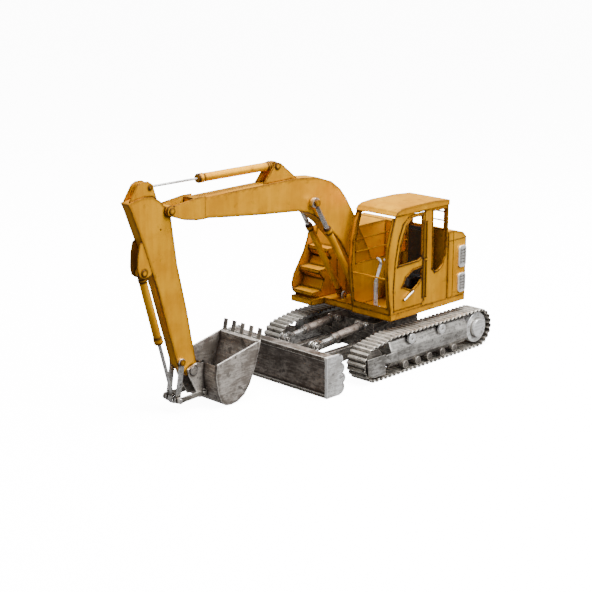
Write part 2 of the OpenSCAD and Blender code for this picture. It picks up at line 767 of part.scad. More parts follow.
// Arm pin with its heads, and the pin that the boom cylinders push on
module boom_pins() machine(bright) {
    nose_w = boom_w + 2 * cheek_plate_t;
    cross_bar(arm_pivot, arm_pin_r, nose_w, boom_y);
    for (s = [-1, 1]) cross_bar(arm_pivot, 3.6, 1.2, boom_y + s * (nose_w / 2 + 0.6));
    eye_w = 2 * (boom_cyl_y + boom_barrel_r);
    cross_bar(boom_eye, pin_r, eye_w, boom_y);
    for (s = [-1, 1]) cross_bar(boom_eye, 3.8, 1, boom_y + s * (eye_w / 2 + 0.5));
}

// Lug on top of the boom for the arm cylinder, with its pin
module arm_cylinder_bracket() machine(yellow) {
    lug_in = arm_barrel_r + collar + side_gap;
    for (s = [-1, 1]) {
        across(2, boom_y + s * (lug_in + 1)) difference() {
            polygon([[122, 214], [174, 214], [158, 232], [153, 236], [148, 234.5]]);
            polygon(boom_outline);
        }
        cross_bar(arm_cyl_base, base_head_r, base_head_t, boom_y + s * (lug_in + 2 + base_head_t / 2));
    }
    cross_bar(arm_cyl_base, pin_r, 2 * lug_in + 4, boom_y);
}

module boom_barrel(side) machine(yellow) ram_barrel(
    boom_feet, boom_eye, boom_y + side * boom_cyl_y, boom_barrel_len, boom_barrel_r, boom_rod_r, 4,
    2 * boom_barrel_r - 2.2, pin_r + run
);
module boom_rod(side) machine(bright)
    ram_rod(boom_feet, boom_eye, boom_y + side * boom_cyl_y, rod_inside, boom_rod_r, 5.6, 4, 3.2);

// ---------------------------------------------------------------- arm

module arm_shell() machine(yellow) difference() {
    union() {
        difference() {
            across(arm_w, boom_y) polygon(arm_outline);
            across(arm_w - 2 * sheet, boom_y) polygon(inset(arm_outline, sheet));
        }
        cross_bar(arm_pivot, 5.2, boom_w - 2 * side_gap, boom_y);
        cross_bar(bucket_pivot, 4.2, 2 * (ear_in - side_gap), boom_y);
        cross_bar(rocker_pivot, 3, arm_w, boom_y);
    }
    cross_bar(arm_pivot, arm_pin_r + run, boom_w + 1, boom_y);
    cross_bar(bucket_pivot, pin_r + run, 30, boom_y);
    cross_bar(rocker_pivot, pin_r, 30, boom_y);
}

// Brackets for the arm cylinder's rod and the bucket cylinder, their pins, and the rocker's pin
module arm_brackets() machine(yellow) {
    for (s = [-1, 1]) {
        across(cheek_plate_t, boom_y + s * (arm_w / 2 - cheek_plate_t)) difference() {
            polygon(top_bracket);
            polygon(arm_outline);
        }
        across(cheek_plate_t, boom_y + s * front_plate_y) difference() {
            polygon(front_bracket);
            polygon(arm_outline);
        }
        cross_bar(rocker_pivot, 3.4, 1, boom_y + s * (ear_in - side_gap + 0.5));
        cross_bar(
            bucket_cyl_base, base_head_r, base_head_t,
            boom_y + s * (front_plate_y + (cheek_plate_t + base_head_t) / 2)
        );
    }
    cross_bar(arm_cyl_eye, 1.8, arm_w, boom_y);
    cross_bar(bucket_cyl_base, pin_r, 2 * front_plate_y + cheek_plate_t + 1, boom_y);
    cross_bar(rocker_pivot, pin_r, 2 * (ear_in - side_gap), boom_y);
}

module arm_barrel() machine(yellow) ram_barrel(
    arm_cyl_base, arm_cyl_eye, boom_y, arm_barrel_len, arm_barrel_r, arm_rod_r, 4.6, 6, pin_r + run
);
module arm_rod() machine(bright)
    ram_rod(arm_cyl_base, arm_cyl_eye, boom_y, rod_inside, arm_rod_r, 4.8, 5, 3.1);
module bucket_barrel() machine(yellow) ram_barrel(
    bucket_cyl_base, link_pin, boom_y, bucket_barrel_len, bucket_barrel_r, bucket_rod_r, 4.6, 6,
    pin_r + run
);
module bucket_rod() machine(bright)
    ram_rod(bucket_cyl_base, link_pin, boom_y, rod_inside, bucket_rod_r, 5, 5, 3.3);

// ---------------------------------------------------------------- bucket

// Pair of bright plates from the arm to the rod, with the cross pin that joins them
module rocker() machine(bright) {
    for (s = [-1, 1]) across(rocker_t, boom_y + s * (rocker_in + rocker_t / 2)) difference() {
        link_shape(rocker_pivot, link_pin, 4.2);
        translate(rocker_pivot) circle(pin_r + run);
    }
    cross_bar(link_pin, pin_r, 2 * rocker_in, boom_y);
    for (s = [-1, 1]) cross_bar(link_pin, pin_r, link_in + link_t - rocker_in - rocker_t + 0.3,
        boom_y + s * (link_in + link_t + rocker_in + rocker_t + 0.3) / 2);
}

// Pair of dark links from the rocker to the bucket's ears
module bucket_link() machine(dark_steel) for (s = [-1, 1])
    across(link_t, boom_y + s * (link_in + link_t / 2)) difference() {
        link_shape(link_pin, bucket_ear_pin, 3.6);
        translate(link_pin) circle(pin_r + run);
        translate(bucket_ear_pin) circle(2.6);
    }

bucket_mouth = (bucket_outline[0] - bucket_outline[1]) / norm(bucket_outline[0] - bucket_outline[1]);
mouth_out = 9 * [-bucket_mouth[1], bucket_mouth[0]];
module bucket_shell() machine(steel) {
    last = len(bucket_outline) - 1;
    difference() {
        across(bucket_w, boom_y) polygon(bucket_outline);
        across(bucket_w - 2 * bucket_t, boom_y) polygon(inset(concat(
            [bucket_outline[0] + mouth_out, bucket_outline[1] + mouth_out],
            [for (i = [2 : last]) bucket_outline[i]]
        ), bucket_t));
    }
    for (s = [-1, 1]) {
        across(ear_t, boom_y + s * (ear_in + ear_t / 2)) difference() {
            polygon([
                [260.2, 46.6], [272, 47], [283, 43], [281, 35], [268, 10], [256.8, 10.5], [259.2, 17],
                [261.7, 33]
            ]);
            translate(bucket_pivot) circle(pin_r);
        }
        cross_bar(bucket_pivot, 4.4, 1.2, boom_y + s * (ear_in + ear_t + 0.6));
        cross_bar(bucket_ear_pin, 1.5, link_t + 0.9, boom_y + s * (ear_in + ear_t + link_t / 2 + 0.45));
    }
    cross_bar(bucket_pivot, pin_r, 2 * (ear_in + ear_t), boom_y);
}

tooth_count = 5;
module bucket_teeth() machine(dark_steel) {
    lip = bucket_outline[1];
    up = (bucket_outline[1] - bucket_outline[2]) / norm(bucket_outline[1] - bucket_outline[2]);
    back = [up[1], -up[0]];
    for (i = [0 : tooth_count - 1]) {
        y = boom_y + (bucket_w - tooth_w - 2) * (i / (tooth_count - 1) - 0.5);
        across(tooth_w, y) polygon([
            lip - 7 * up, lip + tooth_l * up, lip + tooth_l * up - 0.9 * back, lip - 6.4 * up - 1.5 * back
        ]);
    }
}

// ---------------------------------------------------------------- nodes

chassis_frame();
swing_ring();
track_frame(1);  // track_frame_left
track_frame(-1);  // track_frame_right
track_band(1);  // track_band_left
track_band(-1);  // track_band_right
track_rollers(1);  // track_rollers_left
track_rollers(-1);  // track_rollers_right
idler_guards(1);  // idler_guards_left
idler_guards(-1);  // idler_guards_right
blade_hinge_pins();
idler(1);  // idler_left
idler(-1);  // idler_right
sprocket(1);  // sprocket_left
sprocket(-1);  // sprocket_right
return_roller(1, 0);  // return_roller_front_left
return_roller(1, 1);  // return_roller_rear_left
return_roller(-1, 0);  // return_roller_front_right
return_roller(-1, 1);  // return_roller_rear_right
blade_plate();
blade_cheeks();
blade_arms();
blade_barrel(1);  // blade_barrel_left
blade_barrel(-1);  // blade_barrel_right
blade_rod(1);  // blade_rod_left
blade_rod(-1);  // blade_rod_right
turntable();
deck();
cab_shell();
cab_roof();
window_rails();
seat();
control_levers();
engine_cover();
side_lamps();
side_tank();
step_box();
boom_foot();
boom_foot_pin();
cab_door();
door_handle();
boom_shell();
boom_nose();
boom_pins();
arm_cylinder_bracket();
boom_barrel(1);  // boom_barrel_left
boom_barrel(-1);  // boom_barrel_right
boom_rod(1);  // boom_rod_left
boom_rod(-1);  // boom_rod_right
arm_shell();
arm_brackets();
arm_barrel();
arm_rod();
bucket_barrel();
bucket_rod();
rocker();
bucket_link();
bucket_shell();
bucket_teeth();
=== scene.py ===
"""Looks for a handmade sheet-metal excavator: paint, steel, small fittings, light and camera.

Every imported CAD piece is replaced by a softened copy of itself. Its edges are rounded, and its surface
carries two measures: how near each spot is to an outer edge, where the finish wears, and how near it
is to an inside corner, where dirt gathers.
"""

import json
import logging
import math
from dataclasses import dataclass
from enum import Enum

import bmesh
import bpy
from mathutils import Matrix, Vector, bvhtree, kdtree, noise

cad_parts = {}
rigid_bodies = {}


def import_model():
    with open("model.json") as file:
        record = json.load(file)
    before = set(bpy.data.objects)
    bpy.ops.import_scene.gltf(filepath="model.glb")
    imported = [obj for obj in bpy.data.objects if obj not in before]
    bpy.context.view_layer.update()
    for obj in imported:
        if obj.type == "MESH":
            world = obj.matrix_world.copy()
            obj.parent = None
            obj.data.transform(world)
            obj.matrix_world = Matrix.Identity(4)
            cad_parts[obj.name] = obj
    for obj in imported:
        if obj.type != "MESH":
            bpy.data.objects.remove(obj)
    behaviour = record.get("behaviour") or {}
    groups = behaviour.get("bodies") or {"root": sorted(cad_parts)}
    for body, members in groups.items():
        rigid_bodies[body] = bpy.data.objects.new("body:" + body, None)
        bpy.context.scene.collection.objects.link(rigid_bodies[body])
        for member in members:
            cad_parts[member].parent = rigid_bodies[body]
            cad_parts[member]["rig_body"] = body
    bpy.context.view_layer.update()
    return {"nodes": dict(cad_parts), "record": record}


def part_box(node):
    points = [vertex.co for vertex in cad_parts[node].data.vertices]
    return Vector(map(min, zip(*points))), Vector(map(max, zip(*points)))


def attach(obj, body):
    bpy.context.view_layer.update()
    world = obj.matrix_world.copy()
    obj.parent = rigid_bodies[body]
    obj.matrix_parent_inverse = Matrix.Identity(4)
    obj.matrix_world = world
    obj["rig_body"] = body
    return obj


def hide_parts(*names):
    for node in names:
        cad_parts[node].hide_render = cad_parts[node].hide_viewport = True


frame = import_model()
LOG = logging.getLogger("excavator")
MM = 0.001

Colour = tuple[float, float, float]
Place = tuple[float, float, float]
Span = tuple[float, float]

# Clean-up of the CAD meshes.
SAME_CORNER = 0.004 * MM  # corners nearer to each other than this are one corner
SAME_ROUNDED = 0.002 * MM  # the same, once the edges are rounded
FLAT_TURN = math.radians(0.6)  # faces that turn less than this are one flat face
SMOOTH_TURN = math.radians(38)  # edges that turn more than this are shaded sharp
KEPT_VOLUME: Span = (0.94, 1.01)  # share of its volume that a sound rounded piece keeps

# Measures of wear and grime.
POINT_STEP = 0.8 * MM  # spacing of the points laid along the sharp edges
FALL_OFF = 1.3  # how steeply a measure drops away from an edge
NOWHERE = Vector((9, 9, 9))  # a point far from everything, for a piece with no edge of one kind
SPLIT_ROUNDS = 8  # times that a piece's long edges may be split
MAX_FACES = 60000  # a piece with more faces than this isn't split again

# Shader graphs.
NOISE_ROUGHNESS = 0.6  # how much the finer octaves of a noise count
NOISE_MIDDLE = 0.5  # value round which a noise varies
CORNER_SAMPLES = 6  # rays that look for walls round a spot
MIX_FACTOR, MIX_LOW, MIX_HIGH, MIX_RESULT = 0, 6, 7, 2  # sockets of a Mix node that mixes colours


class Slot(Enum):
    """Material slots of the record."""

    PAINTED = "painted"
    RAW = "raw_steel"
    DARK = "dark_iron"
    BRIGHT = "bright_metal"
    SEAT = "seat_black"


# ---------------------------------------------------------------- shader graphs


class Num:
    """One number in a shader graph, on which ordinary arithmetic works."""

    def __init__(self, graph: "Graph", socket: bpy.types.NodeSocket) -> None:
        """Keeps the socket.

        Args:
            graph: Graph that the socket belongs to.
            socket: Output socket that carries the number.
        """
        self.graph = graph
        self.socket = socket

    def math(self, operation: str, *values: "Num | float") -> "Num":
        """Adds one Math node.

        Args:
            operation: Blender's name of the operation.
            values: Its inputs in order.

        Returns:
            The node's result.
        """
        node = self.graph.node("ShaderNodeMath", {"operation": operation}, *values)
        return Num(self.graph, node.outputs[0])

    def __add__(self, other: "Num | float") -> "Num":
        """Returns this plus other."""
        return self.math("ADD", self, other)

    def __radd__(self, other: float) -> "Num":
        """Returns other plus this."""
        return self.math("ADD", other, self)

    def __sub__(self, other: "Num | float") -> "Num":
        """Returns this minus other."""
        return self.math("SUBTRACT", self, other)

    def __rsub__(self, other: float) -> "Num":
        """Returns other minus this."""
        return self.math("SUBTRACT", other, self)

    def __mul__(self, other: "Num | float") -> "Num":
        """Returns this times other."""
        return self.math("MULTIPLY", self, other)

    def __rmul__(self, other: float) -> "Num":
        """Returns other times this."""
        return self.math("MULTIPLY", other, self)

    def larger(self, other: "Num | float") -> "Num":
        """Returns the larger of this and other."""
        return self.math("MAXIMUM", self, other)

    def ramp(self, low: float, high: float, start: float = 0.0, end: float = 1.0) -> "Num":
        """Eases from one value to another as this number grows.

        Args:
            low: Value at which the ramp starts.
            high: Value at which it ends.
            start: Result at low.
            end: Result at high.

        Returns:
            The eased number.
        """
        node = self.graph.node(
            "ShaderNodeMapRange", {"interpolation_type": "SMOOTHSTEP"}, self, low, high, start, end
        )
        return Num(self.graph, node.outputs[0])


class Graph:
    """One material's node graph, with its shader and its output."""

    def __init__(self, name: str, slot: Slot) -> None:
        """Starts an empty material.

        Args:
            name: Name of the material.
            slot: The record's slot that it dresses.
        """
        self.material = bpy.data.materials.new(name)
        self.material["slot"] = slot.value
        self.material.use_nodes = True
        self.tree = self.material.node_tree
        self.tree.nodes.clear()
        self.shader = self.tree.nodes.new("ShaderNodeBsdfPrincipled")
        output = self.tree.nodes.new("ShaderNodeOutputMaterial")
        self.tree.links.new(self.shader.outputs[0], output.inputs[0])
        self.place = self.node("ShaderNodeTexCoord", {}).outputs["Object"]

    def set(self, socket: bpy.types.NodeSocket, value: object) -> None:
        """Links or sets one input socket.

        Args:
            socket: Input to fill.
            value: A Num, an output socket, or a plain value.
        """
        if isinstance(value, Num):
            value = value.socket
        if isinstance(value, bpy.types.NodeSocket):
            self.tree.links.new(value, socket)
        elif isinstance(value, tuple) and socket.type == "RGBA":
            socket.default_value = (*value[:3], 1.0)
        else:
            socket.default_value = value

    def node(
        self, kind: str, settings: dict[str, object], *inputs: object, **named: object
    ) -> bpy.types.Node:
        """Adds one node.

        Args:
            kind: Blender's name of the node type.
            settings: Properties to set on it.
            inputs: Values of its first inputs, in order; None leaves one alone.
            named: Values of inputs by name, with underscores for spaces.

        Returns:
            The node.
        """
        node = self.tree.nodes.new(kind)
        for key, value in settings.items():
            setattr(node, key, value)
        for socket, value in zip(node.inputs, inputs):
            if value is not None:
                self.set(socket, value)
        for key, value in named.items():
            self.set(node.inputs[key.replace("_", " ")], value)
        return node

    def attribute(self, name: str) -> Num:
        """Reads a number stored on the mesh.

        Args:
            name: The attribute's name.

        Returns:
            Its value.
        """
        return Num(self, self.node("ShaderNodeAttribute", {"attribute_name": name}).outputs["Fac"])

    def noise(self, scale: float, detail: float, stretch: Place = (1, 1, 1)) -> Num:
        """Cloudy noise over the object's own coordinates.

        Args:
            scale: Repeats in one metre.
            detail: Octaves.
            stretch: Scale along each axis, for streaks.

        Returns:
            Noise around one half.
        """
        place = self.node("ShaderNodeMapping", {}, self.place, None, None, stretch).outputs[0]
        node = self.node("ShaderNodeTexNoise", {}, place, None, scale, detail, NOISE_ROUGHNESS)
        return Num(self, node.outputs[0])

    def cracks(self, scale: float) -> Num:
        """Distance to the walls of random cells, which reads as fine scratches when it is small.

        Args:
            scale: Cells in one metre.

        Returns:
            The distance.
        """
        node = self.node("ShaderNodeTexVoronoi", {"feature": "DISTANCE_TO_EDGE"}, self.place, None, scale)
        return Num(self, node.outputs["Distance"])

    def hollow(self, reach: float) -> Num:
        """Measures how shut in a spot is by its own piece.

        Args:
            reach: How far away a wall still counts.

        Returns:
            0 in the open, up to 1 deep in a corner.
        """
        settings = {"samples": CORNER_SAMPLES, "only_local": True}
        node = self.node("ShaderNodeAmbientOcclusion", settings, Distance=reach)
        return 1.0 - Num(self, node.outputs["AO"])

    def mix(self, factor: Num | float, low: object, high: object) -> bpy.types.NodeSocket:
        """Mixes two colours.

        Args:
            factor: Share of the second colour.
            low: Colour at 0.
            high: Colour at 1.

        Returns:
            The mixed colour.
        """
        node = self.node("ShaderNodeMix", {"data_type": "RGBA"})
        self.set(node.inputs[MIX_FACTOR], factor)
        self.set(node.inputs[MIX_LOW], low)
        self.set(node.inputs[MIX_HIGH], high)
        return node.outputs[MIX_RESULT]

    def bump(self, height: Num, depth: float, strength: float) -> None:
        """Raises the surface a little by a height.

        Args:
            height: Height as a share of the depth.
            depth: Depth in metres.
            strength: Share of the effect.
        """
        node = self.node("ShaderNodeBump", {}, Height=height, Distance=depth, Strength=strength)
        self.set(self.shader.inputs["Normal"], node.outputs[0])


@dataclass(frozen=True)
class Paint:
    """Hand-brushed oil paint over steel, rubbed dark along its edges, with dark lines in its inside corners
    and painted shade in its hollows.
    """

    name: str = "golden_paint"
    body: Colour = (0.52, 0.215, 0.002)
    light: Colour = (0.66, 0.305, 0.004)
    # Brown of stains and antiqued edges, also used for painted shade in hollows.
    stain: Colour = (0.17, 0.062, 0.004)
    # Dark colour of rubbed edges, also used for dark inside corners and the painted shade in pockets.
    edge: Colour = (0.035, 0.016, 0.006)
    rough: float = 0.42
    sheen_metal: float = 0.5
    specular: float = 0.12
    cloud_scale: float = 28
    grit_scale: float = 420
    brush_scale: float = 160
    brush_stretch: Place = (1, 1, 0.12)
    fresh_span: Span = (0.38, 0.66)
    dirt_scale: float = 75
    dirt_span: Span = (0.60, 0.74)
    dirt_share: float = 0.55
    soft_span: Span = (0.32, 1.05)
    soft_share: float = 0.8
    rubbed_span: Span = (0.78, 1.0)
    rubbed_share: float = 0.85
    shade_reach: float = 60 * MM
    shade_span: Span = (0.35, 0.85)
    shade_share: float = 0.8
    # Painted shade in small pockets, from the piece's own occlusion.
    pocket_reach: float = 9 * MM
    pocket_span: Span = (0.3, 0.95)
    pocket_share: float = 0.8
    grime_span: Span = (0.25, 0.9)
    grime_share: float = 0.85
    relief: float = 0.25 * MM
    relief_strength: float = 0.55

    def make(self) -> bpy.types.Material:
        """Builds the material, from fresh paint to stains, rubbed edges, dark inside corners and painted
        shade in hollows.

        Returns:
            The material.
        """
        g = Graph(self.name, Slot.PAINTED)
        wear = g.attribute("wear")
        cloud = g.noise(self.cloud_scale, 4)
        grit = g.noise(self.grit_scale, 5)
        brush = g.noise(self.brush_scale, 3, self.brush_stretch)
        fresh = (cloud * 0.7 + brush * 0.3).ramp(*self.fresh_span)
        base = g.mix(fresh, self.body, self.light)
        dirt = (g.noise(self.dirt_scale, 6) + wear * 0.10).ramp(*self.dirt_span)
        base = g.mix(dirt * self.dirt_share, base, self.stain)
        soft = (wear + (cloud - NOISE_MIDDLE) * 0.9).ramp(*self.soft_span)
        base = g.mix(soft * self.soft_share, base, self.stain)
        rubbed = wear + (grit - NOISE_MIDDLE) * 0.8 + (cloud - NOISE_MIDDLE) * 0.7
        rubbed = rubbed.ramp(*self.rubbed_span)
        base = g.mix(rubbed * self.rubbed_share, base, self.edge)
        # Painted shade: the piece's own occlusion over a wide reach darkens its hollows towards the stain
        # colour.
        shade = g.hollow(self.shade_reach).ramp(*self.shade_span)
        base = g.mix(shade * self.shade_share, base, self.stain)
        # Dark inside corners: thin dark lines along inside corners, as grime, joined with painted shade from
        # the piece's own occlusion in small pockets, both mixed towards the dark edge colour.
        pocket_shade = g.hollow(self.pocket_reach).ramp(*self.pocket_span) * self.pocket_share
        corner = g.attribute("grime").ramp(*self.grime_span).larger(pocket_shade)
        base = g.mix(corner * self.grime_share, base, self.edge)
        g.set(g.shader.inputs["Base Color"], base)
        g.set(g.shader.inputs["Roughness"], brush * 0.25 + self.rough - 0.1 + rubbed * 0.2)
        g.shader.inputs["Metallic"].default_value = self.sheen_metal
        g.shader.inputs["Specular IOR Level"].default_value = self.specular
        height = grit * 0.25 + cloud * 0.6 + brush * 0.3 - rubbed * 0.25
        g.bump(height, self.relief, self.relief_strength)
        return g.material


@dataclass(frozen=True)
class Steel:
    """Bare steel, burnished on its edges and darkened on its faces."""

    name: str
    slot: Slot
    face: Colour
    pale: Colour
    # Colour of stains, also used for dark inside corners and painted shade in hollows.
    stain: Colour
    edge: Colour
    rough: float
    metal: float = 0.85
    edge_low: float = 0.62
    scratch: float = 0.5
    # Reach of the painted shade from the piece's own occlusion in its hollows.
    cavity: float = 9 * MM
    edge_span: float = 0.3
    cloud_scale: float = 55
    grit_scale: float = 500
    streak_scale: float = 90
    streak_stretch: Place = (1, 1, 6)
    pale_span: Span = (0.42, 0.60)
    patch_scale: float = 110
    patch_span: Span = (0.54, 0.66)
    patch_share: float = 0.75
    scratch_scale: float = 260
    scratch_width: float = 0.03
    scratch_span: Span = (0.45, 0.6)
    grime_span: Span = (0.15, 0.85)
    cavity_span: Span = (0.15, 0.65)
    grime_share: float = 0.9
    relief: float = 0.22 * MM
    relief_strength: float = 0.6

    def make(self) -> bpy.types.Material:
        """Builds the material, from mottled faces to stains, burnished edges, scratches, dark inside corners
        and painted shade in hollows.

        Returns:
            The material.
        """
        g = Graph(self.name, self.slot)
        wear = g.attribute("wear")
        cloud = g.noise(self.cloud_scale, 5)
        grit = g.noise(self.grit_scale, 5)
        streak = g.noise(self.streak_scale, 4, self.streak_stretch)
        lines = g.cracks(self.scratch_scale).ramp(0.0, self.scratch_width, 1.0, 0.0)
        mottle = (cloud * 0.5 + streak * 0.35 + grit * 0.15).ramp(*self.pale_span)
        base = g.mix(mottle, self.face, self.pale)
        patch = g.noise(self.patch_scale, 6).ramp(*self.patch_span)
        base = g.mix(patch * self.patch_share, base, self.stain)
        rub = wear + (grit - NOISE_MIDDLE) * 0.7 + (cloud - NOISE_MIDDLE) * 0.5
        burnish = rub.ramp(self.edge_low, self.edge_low + self.edge_span)
        base = g.mix(burnish, base, self.edge)
        base = g.mix(lines * cloud.ramp(*self.scratch_span) * self.scratch, base, self.pale)
        # Dark corners: thin dark lines along inside corners, as grime, joined with painted shade from the
        # piece's own occlusion in hollows, both mixed towards the stain colour.
        pocket_shade = g.hollow(self.cavity).ramp(*self.cavity_span)
        corner = g.attribute("grime").ramp(*self.grime_span).larger(pocket_shade)
        base = g.mix(corner * self.grime_share, base, self.stain)
        g.set(g.shader.inputs["Base Color"], base)
        g.shader.inputs["Metallic"].default_value = self.metal
        rough = cloud * 0.3 + grit * 0.15 + (self.rough - 0.2) - burnish * 0.08
        g.set(g.shader.inputs["Roughness"], rough)
        g.bump(grit * 0.35 + cloud * 0.7 + lines * 0.15, self.relief, self.relief_strength)
        return g.material


# ---------------------------------------------------------------- meshes


@dataclass
class Piece:
    """One CAD piece, rebuilt with soft edges and with stored measures of edge wear and corner grime."""

    node: str
    material: bpy.types.Material
    round_by: float = 0.35 * MM
    grain: float = 2.6 * MM
    reach: float = 2.2 * MM
    sharp: float = math.radians(28)
    suffix: str = "skin"
    stands_for_node: bool = True

    def solid(self) -> bmesh.types.BMesh:
        """Reads the CAD piece and joins its triangles into flat faces.

        Returns:
            The mesh.
        """
        bm = bmesh.new()
        bm.from_mesh(frame["nodes"][self.node].data)
        bmesh.ops.remove_doubles(bm, verts=bm.verts, dist=SAME_CORNER)
        bmesh.ops.dissolve_limit(bm, angle_limit=FLAT_TURN, verts=bm.verts, edges=bm.edges)
        return bm

    def soften(self, bm: bmesh.types.BMesh) -> bmesh.types.BMesh:
        """Rounds the sharp edges, and keeps the plain solid if the rounding spoils it.

        Args:
            bm: The plain solid.

        Returns:
            The mesh to use.
        """
        before = abs(bm.calc_volume())
        soft = bm.copy()
        edges = [e for e in soft.edges if e.is_manifold and e.calc_face_angle(0.0) > self.sharp]
        bmesh.ops.bevel(
            soft, geom=edges, offset=self.round_by, offset_type="OFFSET", segments=2, profile=0.5,
            affect="EDGES", clamp_overlap=True, material=-1,
        )
        bmesh.ops.remove_doubles(soft, verts=soft.verts, dist=SAME_ROUNDED)
        after = abs(soft.calc_volume())
        closed = all(e.is_manifold for e in soft.edges)
        least, most = KEPT_VOLUME
        if not least * before < after < most * before or not closed:
            LOG.warning(
                "%s keeps its sharp edges (%.3f of its volume, closed %s)", self.node, after / before, closed
            )
            soft.free()
            return bm
        bm.free()
        return soft

    def edge_points(self, bm: bmesh.types.BMesh, outer: bool) -> kdtree.KDTree:
        """Collects points along the sharp edges of one kind.

        Args:
            bm: The plain solid.
            outer: True for edges that stand out, False for inside corners.

        Returns:
            A tree of the points.
        """
        points: list[Vector] = []
        for e in bm.edges:
            if e.is_manifold and e.is_convex == outer and e.calc_face_angle(0.0) > self.sharp:
                a, b = e.verts[0].co, e.verts[1].co
                steps = max(1, int((b - a).length / POINT_STEP))
                points += [a.lerp(b, i / steps) for i in range(steps + 1)]
        tree = kdtree.KDTree(max(1, len(points)))
        for i, p in enumerate(points or [NOWHERE]):
            tree.insert(p, i)
        tree.balance()
        return tree

    def refine(self, bm: bmesh.types.BMesh) -> None:
        """Splits long edges until every triangle is about as small as the grain.

        Args:
            bm: Mesh to split.
        """
        bmesh.ops.triangulate(bm, faces=bm.faces)
        for _ in range(SPLIT_ROUNDS):
            long = [e for e in bm.edges if e.calc_length() > self.grain]
            if not long or len(bm.faces) > MAX_FACES:
                break
            bmesh.ops.subdivide_edges(bm, edges=long, cuts=1, use_grid_fill=False)
            bmesh.ops.triangulate(bm, faces=[f for f in bm.faces if len(f.verts) > 3])

    def build(self) -> bpy.types.Object:
        """Makes the piece and puts it in the CAD piece's place.

        Returns:
            The finished object.
        """
        bm = self.solid()
        trees = {"wear": self.edge_points(bm, True), "grime": self.edge_points(bm, False)}
        bm = self.soften(bm)
        self.refine(bm)
        for kind, tree in trees.items():
            layer = bm.verts.layers.float.new(kind)
            for v in bm.verts:
                v[layer] = math.exp(-((tree.find(v.co)[2] / self.reach) ** FALL_OFF))
        name = f"{self.node}_{self.suffix}"
        mesh = bpy.data.meshes.new(name)
        bm.to_mesh(mesh)
        bm.free()
        mesh.polygons.foreach_set("use_smooth", [True] * len(mesh.polygons))
        mesh.set_sharp_from_angle(angle=SMOOTH_TURN)
        mesh.materials.append(self.material)
        obj = bpy.data.objects.new(name, mesh)
        bpy.context.scene.collection.objects.link(obj)
        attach(obj, frame["nodes"][self.node]["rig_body"])
        if self.stands_for_node:
            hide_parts(self.node)
        LOG.info("%s: %d faces", obj.name, len(mesh.polygons))
        return obj


@dataclass
class WindowRims(Piece):
    """Rims that stand a little proud round the holes in a flat panel on the cab's left side."""

    suffix: str = "rims"
    stands_for_node: bool = False
    width: float = 1.2 * MM
    depth: float = 2.4 * MM
    proud: float = 0.8 * MM
    round_by: float = 0.3 * MM
    skip_holes: int = 0
    facing: float = 0.999
    level_step: float = 0.1 * MM
    large_share: float = 0.5

    def panel(self, bm: bmesh.types.BMesh) -> set[bmesh.types.BMFace]:
        """Finds the panel's outer face, which is the outermost large plane that looks left.

        Args:
            bm: The panel's mesh.

        Returns:
            The faces of that plane.
        """
        planes: dict[int, list[bmesh.types.BMFace]] = {}
        for f in bm.faces:
            if f.normal.y > self.facing:
                planes.setdefault(round(f.calc_center_median().y / self.level_step), []).append(f)
        areas = {y: sum(f.calc_area() for f in faces) for y, faces in planes.items()}
        large = self.large_share * max(areas.values())
        return set(planes[max(y for y, area in areas.items() if area > large)])

    @staticmethod
    def spread(outline: list[Vector]) -> float:
        """Measures the box round an outline.

        Args:
            outline: Its points.

        Returns:
            The box's area in X and Z.
        """
        across = [p.x for p in outline]
        up = [p.z for p in outline]
        return (max(across) - min(across)) * (max(up) - min(up))

    def holes(self) -> list[list[Vector]]:
        """Walks the outlines of the panel's holes.

        Returns:
            One closed list of points for each hole, the largest ones first.
        """
        bm = bmesh.new()
        bm.from_mesh(frame["nodes"][self.node].data)
        bmesh.ops.remove_doubles(bm, verts=bm.verts, dist=SAME_CORNER)
        chosen = self.panel(bm)
        left = [e for e in bm.edges if sum(f in chosen for f in e.link_faces) == 1]
        outlines: list[list[Vector]] = []
        while left:
            edge = left.pop()
            start, spot = edge.verts
            outline = [start.co.copy()]
            while spot != start:
                outline.append(spot.co.copy())
                edge = next(e for e in spot.link_edges if e in left)
                left.remove(edge)
                spot = edge.other_vert(spot)
            outlines.append(outline)
        bm.free()
        outlines.sort(key=self.spread, reverse=True)
        return outlines[1 + self.skip_holes:]

    def solid(self) -> bmesh.types.BMesh:
        """Makes a ring with a real thickness inside each hole.

        Returns:
            The mesh of all rings.
        """
        bm = bmesh.new()
        for outline in self.holes():
            face = bm.faces.new([bm.verts.new(p) for p in outline])
            face.normal_update()
            bmesh.ops.inset_region(
                bm, faces=[face], thickness=self.width, use_even_offset=True, use_boundary=True
            )
            bmesh.ops.delete(bm, geom=[face], context="FACES_ONLY")
        raised = bmesh.ops.extrude_face_region(bm, geom=bm.faces[:], use_keep_orig=True)["geom"]
        front = [v for v in raised if isinstance(v, bmesh.types.BMVert)]
        bmesh.ops.translate(bm, verts=front, vec=(0.0, self.depth, 0.0))
        bmesh.ops.translate(bm, verts=bm.verts, vec=(0.0, self.proud - self.depth, 0.0))
        bmesh.ops.recalc_face_normals(bm, faces=bm.faces)
        return bm


